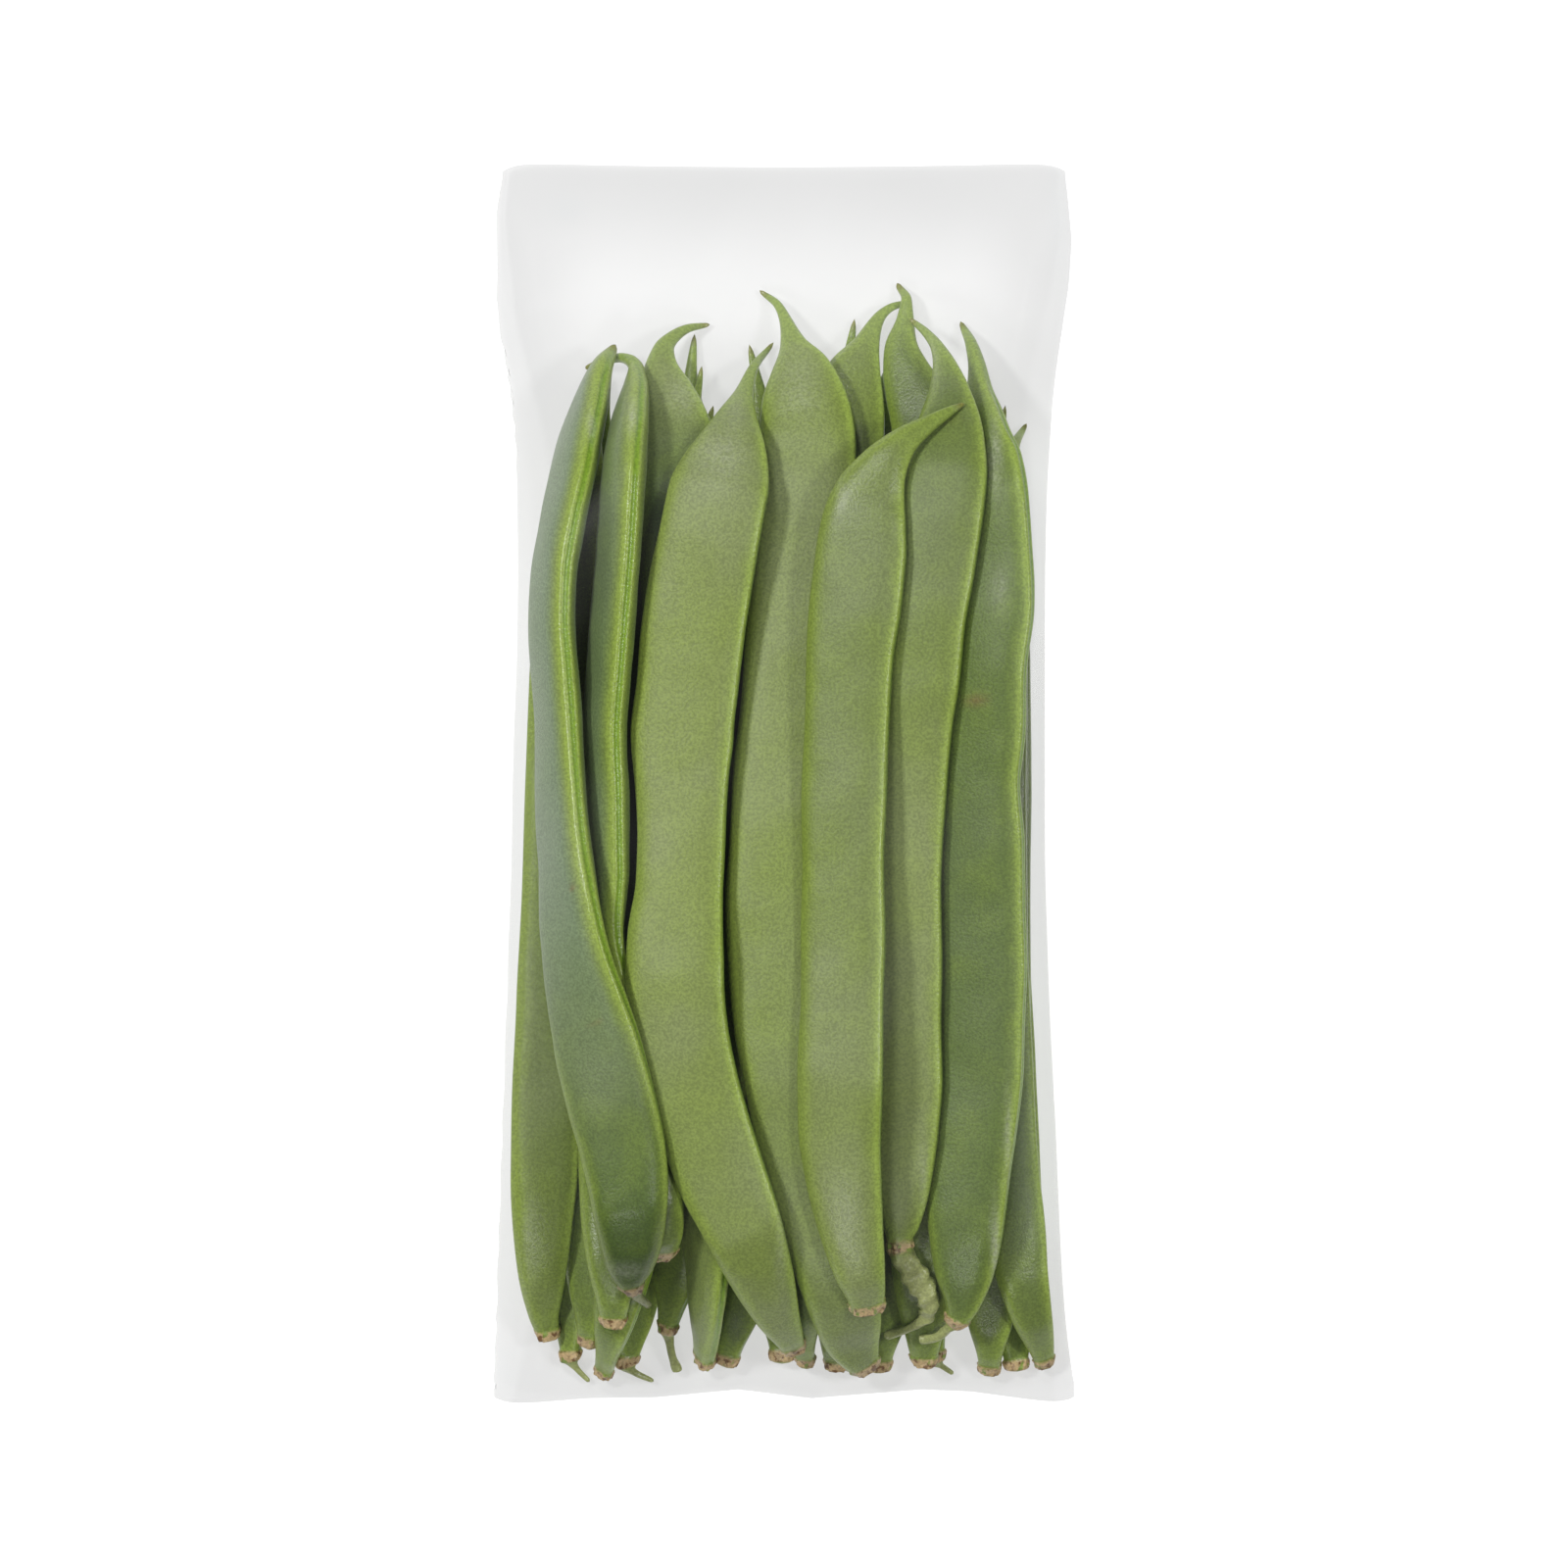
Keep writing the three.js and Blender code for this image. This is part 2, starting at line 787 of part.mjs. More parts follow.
// The film is a tight wrap of what it holds. Each ring is kept as its reach in even directions round
// the bag, so that moving it out by the film's thickness adds that much to each reach.
const FILM_SIDES = 28;
const FILM_ROWS = [
  -BAG_HALF_LENGTH,
  ...[-125.4, -124, -121.5, -117, -110, -101, -90, -76, -58, -38, -18, 2, 22, 42, 58, 72, 82, 90, 98, 107, 117],
  BAG_HALF_LENGTH,
];
const WAVE_SHARE = [1, 0.8, 0.6, 0.2]; // of the bottom edge's waves in the first rows
const FIRST_HOLLOW_ROW = 2; // the rows before it are the weld
const FLAT_MARGIN = 9; // from the bag's side to its flat underside
const FLAT_FROM = -122;
const FLAT_TO = 120;

const DIRECTIONS = Array.from({ length: FILM_SIDES }, (_, j) => {
  const angle = (j * 2 * Math.PI) / FILM_SIDES - Math.PI / 2;
  return [Math.cos(angle), Math.sin(angle)];
});

// The points, as [x, z], that the film goes round at row k.
function heldAt(k) {
  const y = FILM_ROWS[k];
  const from = FILM_ROWS[Math.max(0, k - 1)] - FILM_CLEAR;
  const to = FILM_ROWS[Math.min(FILM_ROWS.length - 1, k + 1)] + FILM_CLEAR;
  const left = FILM + FILM_CLEAR - along(LEFT_REACH, y);
  const right = along(RIGHT_REACH, y) - FILM - FILM_CLEAR;
  const mid = along(BAG_MID_HEIGHT, y);
  const held = [
    [right, mid],
    [left, mid],
  ];
  if (y > FLAT_FROM && y < FLAT_TO) {
    held.push([right - FLAT_MARGIN, BEAN_FLOOR], [left + FLAT_MARGIN, BEAN_FLOOR]);
  }
  if (y >= COLLAR_START) {
    const crown = along(COLLAR_CROWN, y);
    const [out, share] = COLLAR_SHOULDER;
    held.push([0, crown], [right * out, crown * share], [left * out, crown * share]);
  }
  for (const station of filled) {
    if (station.y < from || station.y > to) continue;
    sectionPoints(station.width, station.thickness, station.roll).forEach(([a, u]) => {
      held.push([station.x + station.headY * a, Math.max(station.z + u, BEAN_FLOOR)]);
    });
  }
  return held;
}

const reaches = FILM_ROWS.map((_, k) => {
  const held = heldAt(k);
  return DIRECTIONS.map(([c, s]) => Math.max(...held.map(([x, z]) => x * c + z * s)));
});

// A ring of the film, by out beyond what it holds: its corners are where neighbouring reaches meet.
function filmRing(k, out) {
  return DIRECTIONS.map(([c0, s0], j) => {
    const next = (j + 1) % FILM_SIDES;
    const [c1, s1] = DIRECTIONS[next];
    const r0 = reaches[k][j] + out;
    const r1 = reaches[k][next] + out;
    const turn = c0 * s1 - s0 * c1;
    const x = (r0 * s1 - r1 * s0) / turn;
    const z = (c0 * r1 - c1 * r0) / turn;
    const wave = (WAVE_SHARE[k] ?? 0) * along(BOTTOM_WAVE, x);
    return new THREE.Vector3(x, FILM_ROWS[k] + wave, z);
  });
}

// Closes a ring with upright strips from its underside to its top, from one side to the other.
function capFaces(base) {
  const faces = [];
  const half = FILM_SIDES / 2;
  const right = Math.floor(FILM_SIDES / 4) - 1; // the last corner of the underside on the side of +X
  for (let c = 0; c + 1 < half; c++) {
    const low = base + ((right - c + FILM_SIDES) % FILM_SIDES);
    const nextLow = base + ((right - c - 1 + FILM_SIDES) % FILM_SIDES);
    const high = base + right + 1 + c;
    faces.push(low, high, nextLow, nextLow, high, high + 1);
  }
  return faces;
}

const flipped = (faces) => faces.slice().reverse();

function filmSolid() {
  const rows = FILM_ROWS.length;
  const outer = FILM_ROWS.map((_, k) => filmRing(k, FILM + FILM_CLEAR));
  const inner = FILM_ROWS.map((_, k) => filmRing(k, FILM_CLEAR)).slice(FIRST_HOLLOW_ROW);
  const innerBase = rows * FILM_SIDES;
  const mouthOuter = (rows - 1) * FILM_SIDES;
  const mouthInner = innerBase + (inner.length - 1) * FILM_SIDES;
  const faces = [
    ...capFaces(0),
    ...tubeFaces(0, rows, FILM_SIDES),
    ...flipped(tubeFaces(innerBase, inner.length, FILM_SIDES)),
    ...flipped(capFaces(innerBase)),
  ];
  for (let j = 0; j < FILM_SIDES; j++) {
    const k = (j + 1) % FILM_SIDES;
    faces.push(mouthOuter + j, mouthInner + j, mouthOuter + k, mouthOuter + k, mouthInner + j, mouthInner + k);
  }
  return solidOf([...outer, ...inner].flat(), faces);
}

const bag = new THREE.Mesh(filmSolid(), CLEAR_FILM);
bag.name = "film_bag";
bundle.add(bag);

export default bundle;
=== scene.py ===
# A bundle of flat green beans in a clear film bag. It lies on its back and is seen from straight above.
import math

import bmesh
import bpy
import numpy as np
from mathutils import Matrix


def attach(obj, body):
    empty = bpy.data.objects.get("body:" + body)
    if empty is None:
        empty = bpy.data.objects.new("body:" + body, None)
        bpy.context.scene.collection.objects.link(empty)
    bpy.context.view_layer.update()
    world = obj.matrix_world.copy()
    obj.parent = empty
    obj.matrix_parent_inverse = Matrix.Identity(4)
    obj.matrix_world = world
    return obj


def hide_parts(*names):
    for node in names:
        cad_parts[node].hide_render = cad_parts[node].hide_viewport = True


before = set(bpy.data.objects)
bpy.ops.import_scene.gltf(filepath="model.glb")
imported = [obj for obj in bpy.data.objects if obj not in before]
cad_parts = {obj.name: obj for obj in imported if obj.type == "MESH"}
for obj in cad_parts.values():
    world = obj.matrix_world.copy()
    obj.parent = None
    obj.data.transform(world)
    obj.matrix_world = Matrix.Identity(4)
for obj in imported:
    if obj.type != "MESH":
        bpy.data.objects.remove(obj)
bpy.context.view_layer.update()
MM = 0.001

# The form of a bean pod. A pod is a flat, fleshy husk that grew in one piece, from the stub of its stalk
# to its thin curved beak. Its halves meet in a doubled seam along one edge and a low ridge on the other.
SECTION_SIDES = 9
BACK_CORNER = 4  # the sharp corner of a pod's plain section, on its back edge
UPPER_CORNER = 2
LOWER_CORNER = 6
END_SHARE = 0.02  # a pod closes on two small discs, this share of the size of the section next to them
ROUND_ANGLES = [  # places round one half of a section, closer together at its two edges
    0.0, 0.09, 0.18, 0.27, 0.36, 0.46, 0.58, 0.72, 0.9, 1.1, 1.32, 1.57,
    1.8, 2.04, 2.25, 2.42, 2.56, 2.68, 2.8, 2.91, 3.02,
]
FACE_FLATNESS = 3.2  # 2 would give an ellipse
BODY_STEP = 0.9 * MM
END_STEP = 0.35 * MM
END_LENGTH = 14 * MM
TIP_SECTIONS = 40
SEAM_LIP = (0.24 * MM, 1.0 * MM, 0.55 * MM)  # rise, distance from the seam line or back edge, softness
SEAM_GROOVE = (-0.14 * MM, 0.0, 0.3 * MM)
SEAM_VALLEY = (-0.15 * MM, 2.6 * MM, 0.7 * MM)
BACK_RIDGE = (0.16 * MM, 0.0, 0.45 * MM)
BACK_VALLEY = (-0.09 * MM, 1.3 * MM, 0.45 * MM)
NARROW = 1.2 * MM  # a half-width that has no seam relief left, as on the beak
BROAD = 4.5 * MM  # a half-width from which the relief is whole
SEED_SPACING = 21 * MM
SEED_RISE = 0.2 * MM
SEED_PLACE = 0.12  # where the seeds lie on a face and how broad they are, in half-widths
SEED_BREADTH = 0.42
SEED_WIDTHS = (5 * MM, 7.5 * MM)  # the half-widths between which the seeds come to show
UNEVEN_WAVES = (34 * MM, 17 * MM, 9 * MM)
UNEVEN_RISE = 0.006  # of each wave's length
CALYX_BREADTH = 1.6 * MM  # half the pod's width where its torn calyx starts
CALYX_LENGTH = 2.3 * MM
CALYX_LOWER_EDGE = (-0.5 * MM, 0.1 * MM)  # how it comes in and goes out, along the pod
CALYX_UPPER_EDGE = (-0.2 * MM, 0.4 * MM)
CALYX_RISE = 0.02 * MM
CALYX_RAGS = 0.55 * MM
RAG_PITCH = 0.9 * MM
FINE_RAG_PITCH = 0.5 * MM
STUB_EDGE = (0.2 * MM, 1.0 * MM)
STALK_KNOBS = 0.65 * MM
KNOB_PITCH = 0.8 * MM
KNOB_TWIST = 1.7 * MM
KNOB_WIDTHS = (0.6 * MM, 2.2 * MM)  # the half-widths between which a stalk comes to be knobbly


def corner_rings(node):
    """A pod's rings of corners, stalk to beak, as an array [ring, corner, xyz], and its two end points."""
    welded = bmesh.new()
    welded.from_mesh(node.data)
    bmesh.ops.remove_doubles(welded, verts=welded.verts, dist=1e-6)
    ends = sorted((v for v in welded.verts if len(v.link_edges) == SECTION_SIDES), key=lambda v: v.co.y)
    stalk, beak = ends[0], ends[-1]

    def neighbours(vertex):
        return [edge.other_vert(vertex) for edge in vertex.link_edges]

    ring = neighbours(stalk)
    middle = sum((v.co for v in ring), stalk.co * 0) / SECTION_SIDES
    heading = (middle - stalk.co).normalized()
    across = heading.cross((0, 0, 1)).normalized()
    lift = across.cross(heading)
    ring.sort(key=lambda v: math.atan2((v.co - middle).dot(lift), (v.co - middle).dot(across)))
    rings = [ring]
    seen = {stalk, *ring}
    while beak not in neighbours(ring[0]):
        following = []
        for number, vertex in enumerate(ring):
            shared = set(neighbours(vertex)) & set(neighbours(ring[(number + 1) % SECTION_SIDES]))
            following.append(next(v for v in shared if v not in seen))
        seen.update(following)
        rings.append(following)
        ring = following
    corners = np.array([[v.co[:] for v in one] for one in rings])
    points = np.array([stalk.co[:], beak.co[:]])
    welded.free()
    return corners, points


def pod_stations(node):
    """Along a pod: its middle line, its half-width and its half-thickness, each an array of vectors."""
    corners, ends = corner_rings(node)
    spread = np.linalg.norm(corners - corners.mean(axis=1, keepdims=True), axis=2)
    widest = int(spread.max(axis=1).argmax())
    turn = int(spread[widest].argmax()) - BACK_CORNER
    corners = np.roll(corners, -turn, axis=1)
    back = corners[:, BACK_CORNER]
    seam = (corners[:, 0] + corners[:, -1]) / 2
    none = np.zeros((1, 3))
    middle = np.vstack([ends[:1], (back + seam) / 2, ends[1:]])
    half_width = np.vstack([none, (seam - back) / 2, none])
    half_thick = np.vstack([none, (corners[:, UPPER_CORNER] - corners[:, LOWER_CORNER]) / 2, none])
    half_width[0] = half_width[1] * END_SHARE
    half_width[-1] = half_width[-2] * END_SHARE
    half_thick[0] = half_thick[1] * END_SHARE
    half_thick[-1] = half_thick[-2] * END_SHARE
    return middle, half_width, half_thick


def smooth_between(at, values, wanted):
    """Values on a smooth curve through the given ones, which never swings past them."""
    steps = np.diff(values, axis=0) / np.diff(at)[:, None]
    slopes = np.vstack([steps[:1], np.zeros_like(steps[1:]), steps[-1:]])
    product = steps[1:] * steps[:-1]
    total = steps[1:] + steps[:-1]
    same_way = product > 0
    slopes[1:-1][same_way] = 2 * product[same_way] / total[same_way]
    piece = np.clip(np.searchsorted(at, wanted, side="right") - 1, 0, len(at) - 2)
    length = (at[piece + 1] - at[piece])[:, None]
    t = ((wanted - at[piece])[:, None]) / length
    start, end = values[piece], values[piece + 1]
    rise = (2 * t**3 - 3 * t**2 + 1) * start + (3 * t**2 - 2 * t**3) * end
    lean = (t**3 - 2 * t**2 + t) * slopes[piece] + (t**3 - t**2) * slopes[piece + 1]
    return rise + lean * length


def ridge(shape, distance):
    """How high a soft ridge or groove stands at a distance from its line."""
    rise, place, softness = shape
    return rise * np.exp(-(((distance - place) / softness) ** 2))


def fade(value, start, end):
    """0 at start, 1 at end, smooth between them."""
    t = np.clip((value - start) / (end - start), 0, 1)
    return t * t * (3 - 2 * t)


def unit(vectors):
    """The same directions, each one long."""
    return vectors / np.maximum(np.linalg.norm(vectors, axis=-1, keepdims=True), 1e-12)


def pod_surface(node, seed, calyx_at=None):
    """The fine surface of a pod: its points as [ring, place round it, xyz], and what the skin needs to know.

    calyx_at is how far along the pod its calyx starts, where that isn't at the end of a thin stub.
    """
    middle, half_width, half_thick = pod_stations(node)
    at = np.concatenate([[0], np.cumsum(np.linalg.norm(np.diff(middle, axis=0), axis=1))])
    length = at[-1]
    wanted = np.concatenate([
        np.arange(0, END_LENGTH, END_STEP),
        np.arange(END_LENGTH, length - END_LENGTH, BODY_STEP),
        np.linspace(length - END_LENGTH, length, TIP_SECTIONS),
    ])
    line = smooth_between(at, middle, wanted)
    wide = smooth_between(at, half_width, wanted)
    thick = smooth_between(at, half_thick, wanted)
    w = np.linalg.norm(wide, axis=1)[:, None]
    t = np.linalg.norm(thick, axis=1)[:, None]
    angles = np.array(ROUND_ANGLES + [math.pi] + [2 * math.pi - a for a in ROUND_ANGLES[:0:-1]])
    flat = np.sign(np.cos(angles)) * np.abs(np.cos(angles)) ** (2 / FACE_FLATNESS)
    x = w * flat
    y = t * np.sin(angles)

    # distances over the skin from the seam line and from the back edge
    step = np.hypot(np.diff(x, axis=1, append=x[:, :1]), np.diff(y, axis=1, append=y[:, :1]))
    round_to = np.concatenate([np.zeros((len(x), 1)), np.cumsum(step, axis=1)[:, :-1]], axis=1)
    girth = step.sum(axis=1, keepdims=True)
    from_seam = np.minimum(round_to, girth - round_to)
    from_back = np.abs(girth / 2 - round_to)

    out_x = np.roll(y, -1, axis=1) - np.roll(y, 1, axis=1)
    out_y = np.roll(x, 1, axis=1) - np.roll(x, -1, axis=1)
    size = np.maximum(np.hypot(out_x, out_y), 1e-9)
    relief = fade(w, NARROW, BROAD)
    seam = ridge(SEAM_LIP, from_seam) + ridge(SEAM_GROOVE, from_seam) + ridge(SEAM_VALLEY, from_seam)
    swell = relief * seam
    swell = swell + relief * (ridge(BACK_RIDGE, from_back) + ridge(BACK_VALLEY, from_back))

    # the seeds inside, and slow unevenness that differs from pod to pod
    draw = np.random.default_rng(seed)
    s = wanted[:, None]
    spacing = SEED_SPACING * draw.uniform(0.85, 1.15)
    seeds = 0.5 + 0.5 * np.cos(2 * math.pi * (s / spacing + draw.uniform()))
    on_face = np.exp(-(((flat - SEED_PLACE) / SEED_BREADTH) ** 2)) * fade(w, *SEED_WIDTHS)
    swell = swell + SEED_RISE * seeds * on_face
    for wave in UNEVEN_WAVES:
        phase = draw.uniform(0, 2 * math.pi, 2)
        uneven = np.sin(2 * math.pi * s / wave + phase[0]) * np.sin(2.2 * flat + phase[1])
        swell = swell + relief * UNEVEN_RISE * wave * uneven * np.abs(np.sin(angles))

    # the calyx, a blunt torn ring where the pod met its stalk, and the knobbly stub of that stalk
    if calyx_at is None:
        calyx_at = wanted[int(np.argmax(w[:, 0] > CALYX_BREADTH))]
    from_calyx = s - calyx_at
    calyx = fade(from_calyx, *CALYX_LOWER_EDGE) * fade(CALYX_LENGTH - from_calyx, *CALYX_UPPER_EDGE)
    phases = draw.uniform(0, 2 * math.pi, 3)
    rags = np.sin(5 * angles + phases[0] + s / RAG_PITCH) * np.sin(3 * angles + phases[1])
    rags = np.clip(0.45 + 0.55 * rags + 0.3 * np.sin(11 * angles + phases[2] + s / FINE_RAG_PITCH), 0, 1)
    stub = fade(-from_calyx, *STUB_EDGE)
    knobs = np.sin(s / KNOB_PITCH + phases[0]) * np.sin(2 * angles + s / KNOB_TWIST + phases[2])
    swell = swell + calyx * (CALYX_RISE + CALYX_RAGS * rags)
    swell = swell + stub * STALK_KNOBS * knobs * fade(w, *KNOB_WIDTHS)
    x = x + swell * out_x / size
    y = y + swell * out_y / size
    points = line[:, None] + unit(wide)[:, None] * x[..., None] + unit(thick)[:, None] * y[..., None]
    facts = {
        "from_seam": from_seam + 0 * x,
        "from_back": from_back + 0 * x,
        "from_stalk": s + 0 * x,
        "from_tip": (length - s) + 0 * x,
        "breadth": w + 0 * x,
        "calyx": calyx + 0 * x,
        "stub": stub + 0 * x,
    }
    return points, facts


def closed_tube(name, points, facts):
    """An object with a closed skin over rings of points, its facts kept as attributes of its points."""
    rings, sides = points.shape[:2]
    inner = points[1:-1].reshape(-1, 3)
    first, last = points[0].mean(axis=0), points[-1].mean(axis=0)
    vertices = np.vstack([inner, first, last])
    count = rings - 2
    i, j = np.meshgrid(np.arange(count - 1), np.arange(sides), indexing="ij")
    k = (j + 1) % sides
    quads = np.stack([i * sides + j, (i + 1) * sides + j, (i + 1) * sides + k, i * sides + k], axis=-1)
    faces = quads.reshape(-1, 4)[:, ::-1].tolist()
    start, end = count * sides, count * sides + 1
    for a in range(sides):
        b = (a + 1) % sides
        faces.append([start, b, a])
        faces.append([end, start - sides + a, start - sides + b])
    mesh = bpy.data.meshes.new(name)
    mesh.from_pydata(vertices.tolist(), [], faces)
    for key, values in facts.items():
        layer = mesh.attributes.new(key, "FLOAT", "POINT")
        flat = np.concatenate([values[1:-1].ravel(), [values[0].mean()], [values[-1].mean()]])
        layer.data.foreach_set("value", flat.astype(np.float32))
    mesh.shade_smooth()
    piece = bpy.data.objects.new(name, mesh)
    bpy.context.scene.collection.objects.link(piece)
    return piece


# The skin of the pods. It is matt and finely speckled, grey-green on the faces and a fresher yellow-green
# along both edges. The stalk end is tan and ragged where it was torn off, and the beak's tip is dry.
FACE_GREEN = (0.262, 0.336, 0.075)
FACE_GREY = (0.275, 0.335, 0.112)
# a dark green, partly a deeper tone and partly painted shade for pods deep in the bag
FACE_DEEP_AND_SHADED = (0.06, 0.12, 0.012)
BLOOM_GREY = (0.23, 0.31, 0.22)
# a painted highlight: the pale satin sheen where the lamps would shine on a pod
HIGHLIGHT_PALE = (0.55, 0.58, 0.45)
EDGE_GREEN = (0.32, 0.44, 0.05)
LIP_GREEN = (0.36, 0.49, 0.08)
SEAM_GREEN = (0.2, 0.37, 0.012)
BEAK_GREEN = (0.27, 0.37, 0.065)
STUB_GREEN = (0.4, 0.42, 0.18)
STALK_TAN = (0.62, 0.45, 0.23)
STALK_BROWN = (0.22, 0.115, 0.045)
SPECKLE_PER_M = 1900
HIGHLIGHT_GRAIN_PER_M = 1200
STUB_GRAIN_PER_M = 700
TORN_PER_M = 500
MOTTLE_PER_M = 130
CLOUD_PER_M = 28
MOTTLE_SHARE = 0.16
EDGE_RAG = 0.8 * MM
EDGE_BAND = (1.2 * MM, 4.6 * MM, 0.52)  # from here to there, and how much of the colour is laid on
LIP_BAND = (1.3 * MM, 2.8 * MM, 0.75)
SEAM_BAND = (0.25 * MM, 0.8 * MM, 0.75)
BEAK_BAND = (NARROW, BROAD, 0.7)  # over the pod's half-width
DRY_TIP = (0.5 * MM, 3.5 * MM, 0.5)
STUB_SHARE = 0.8
DEEPEST_SHADE = 0.5  # painted shade: the share of the colour that is kept on the skin deepest in the bag
SPECKLE_LIGHTNESS = (0.82, 1.18)
GLOSSY_ENDS = (24 * MM, 46 * MM)
GLOSSY_LIPS = (1.0 * MM, 2.6 * MM)
FACE_ROUGHNESS = 0.5
END_ROUGHNESS = 0.34
LIP_ROUGHNESS = 0.28
SKIN_SPECULAR = 0.5
SKIN_SHEEN = 0.05
SHEEN_ROUGHNESS = 0.4
MOTTLE_RISE = 0.6  # of the speckle's
SKIN_RISE = 0.09 * MM


class Nodes:
    """A material's node tree, with short calls for the nodes that the finishes here use."""

    def __init__(self, name):
        self.material = bpy.data.materials.new(name)
        self.material.use_nodes = True
        self.tree = self.material.node_tree
        self.shader = self.tree.nodes["Principled BSDF"]
        self.place = self.tree.nodes.new("ShaderNodeTexCoord").outputs["Object"]

    def put(self, socket, value):
        if isinstance(value, bpy.types.NodeSocket):
            self.tree.links.new(value, socket)
        elif isinstance(value, tuple) and len(value) == 3 and socket.type == "RGBA":
            socket.default_value = (*value, 1)
        else:
            socket.default_value = value

    def math(self, kind, first, second=0.0, clamp=False):
        node = self.tree.nodes.new("ShaderNodeMath")
        node.operation = kind
        node.use_clamp = clamp
        self.put(node.inputs[0], first)
        self.put(node.inputs[1], second)
        return node.outputs[0]

    def noise(self, per_metre, detail=2.0, roughness=0.5):
        node = self.tree.nodes.new("ShaderNodeTexNoise")
        self.put(node.inputs["Vector"], self.place)
        node.inputs["Scale"].default_value = per_metre
        node.inputs["Detail"].default_value = detail
        node.inputs["Roughness"].default_value = roughness
        return node.outputs["Fac"]

    def fact(self, key):
        node = self.tree.nodes.new("ShaderNodeAttribute")
        node.attribute_name = key
        return node.outputs["Fac"]

    def span(self, value, low, high, to_low=0.0, to_high=1.0):
        node = self.tree.nodes.new("ShaderNodeMapRange")
        node.interpolation_type = "SMOOTHSTEP"
        self.put(node.inputs["Value"], value)
        node.inputs["From Min"].default_value = low
        node.inputs["From Max"].default_value = high
        node.inputs["To Min"].default_value = to_low
        node.inputs["To Max"].default_value = to_high
        return node.outputs["Result"]

    def mix(self, share, first, second, kind="MIX"):
        node = self.tree.nodes.new("ShaderNodeMix")
        node.data_type = "RGBA"
        node.blend_type = kind
        self.put(node.inputs["Factor"], share)
        self.put(node.inputs["A"], first)
        self.put(node.inputs["B"], second)
        return node.outputs["Result"]

    def bump(self, height, distance):
        node = self.tree.nodes.new("ShaderNodeBump")
        self.put(node.inputs["Height"], height)
        node.inputs["Distance"].default_value = distance
        node.inputs["Strength"].default_value = 1.0
        return node.outputs["Normal"]


def bean_skin():
    """The finish of every pod, from the facts that are kept on its points."""
    n = Nodes("bean_skin")

    def band(colour, fact, limits, paint):
        """Lays a paint over the colour, most where the fact is small."""
        start, end, share = limits
        return n.mix(n.span(fact, start, end, share, 0.0), colour, paint)

    speckle = n.noise(SPECKLE_PER_M, 1.5, 0.6)
    mottle = n.noise(MOTTLE_PER_M, 3.0)
    cloud = n.noise(CLOUD_PER_M, 2.0)
    colour = n.mix(n.span(cloud, 0.38, 0.64), FACE_GREEN, FACE_GREY)
    # painted shade: pods deep in the bag and in the shadowed gaps go towards a dark green
    colour = n.mix(n.fact("deep_and_shaded"), colour, FACE_DEEP_AND_SHADED)
    colour = n.mix(n.span(mottle, 0.42, 0.72, 0.0, MOTTLE_SHARE), colour, EDGE_GREEN)
    to_edge = n.math("MINIMUM", n.fact("from_seam"), n.fact("from_back"))
    ragged = n.math("ADD", to_edge, n.span(mottle, 0.3, 0.7, -EDGE_RAG, EDGE_RAG))
    colour = band(colour, ragged, EDGE_BAND, EDGE_GREEN)
    colour = n.mix(n.fact("bloom"), colour, BLOOM_GREY)
    colour = band(colour, n.fact("from_seam"), LIP_BAND, LIP_GREEN)
    colour = band(colour, n.fact("from_seam"), SEAM_BAND, SEAM_GREEN)
    colour = band(colour, n.fact("breadth"), BEAK_BAND, BEAK_GREEN)
    colour = band(colour, n.fact("from_tip"), DRY_TIP, STALK_BROWN)
    colour = n.mix(n.math("MULTIPLY", n.fact("stub"), STUB_SHARE), colour, STUB_GREEN)
    tan = n.mix(n.span(n.noise(STUB_GRAIN_PER_M, 2.0), 0.5, 0.64), STALK_TAN, STALK_BROWN)
    torn = n.math("MULTIPLY", n.fact("calyx"), n.span(n.noise(TORN_PER_M, 2.0), 0.32, 0.42), clamp=True)
    colour = n.mix(torn, colour, tan)
    colour = n.mix(n.fact("blemish"), colour, STALK_BROWN)
    # painted highlights: pale grainy patches and glints where the lamps would shine on the ends, seams and
    # shoulders
    highlight_grain = n.span(n.noise(HIGHLIGHT_GRAIN_PER_M, 2.0), 0.35, 0.6, 0.6, 1.1)
    colour = n.mix(n.math("MULTIPLY", n.fact("painted_highlight"), highlight_grain, clamp=True), colour, HIGHLIGHT_PALE)
    # painted shade: the skin deepest in the bag is darkened further
    colour = n.mix(1.0, colour, n.span(n.fact("deep_and_shaded"), 0.7, 1.0, 1.0, DEEPEST_SHADE), "MULTIPLY")
    light = n.mix(1.0, colour, n.span(speckle, 0.3, 0.7, *SPECKLE_LIGHTNESS), "MULTIPLY")
    n.put(n.shader.inputs["Base Color"], light)
    # the broad faces are matt, and the skin is tighter and glossier towards the ends and on the seam's lips
    to_end = n.math("MINIMUM", n.fact("from_stalk"), n.fact("from_tip"))
    end_roughness = n.span(to_end, *GLOSSY_ENDS, END_ROUGHNESS, FACE_ROUGHNESS)
    lip_roughness = n.span(n.fact("from_seam"), *GLOSSY_LIPS, LIP_ROUGHNESS, FACE_ROUGHNESS)
    n.put(n.shader.inputs["Roughness"], n.math("MINIMUM", end_roughness, lip_roughness))
    n.shader.inputs["Specular IOR Level"].default_value = SKIN_SPECULAR
    n.shader.inputs["Sheen Weight"].default_value = SKIN_SHEEN
    n.shader.inputs["Sheen Roughness"].default_value = SHEEN_ROUGHNESS
    height = n.math("ADD", speckle, n.math("MULTIPLY", mottle, MOTTLE_RISE))
    n.put(n.shader.inputs["Normal"], n.bump(height, SKIN_RISE))
    return n.material
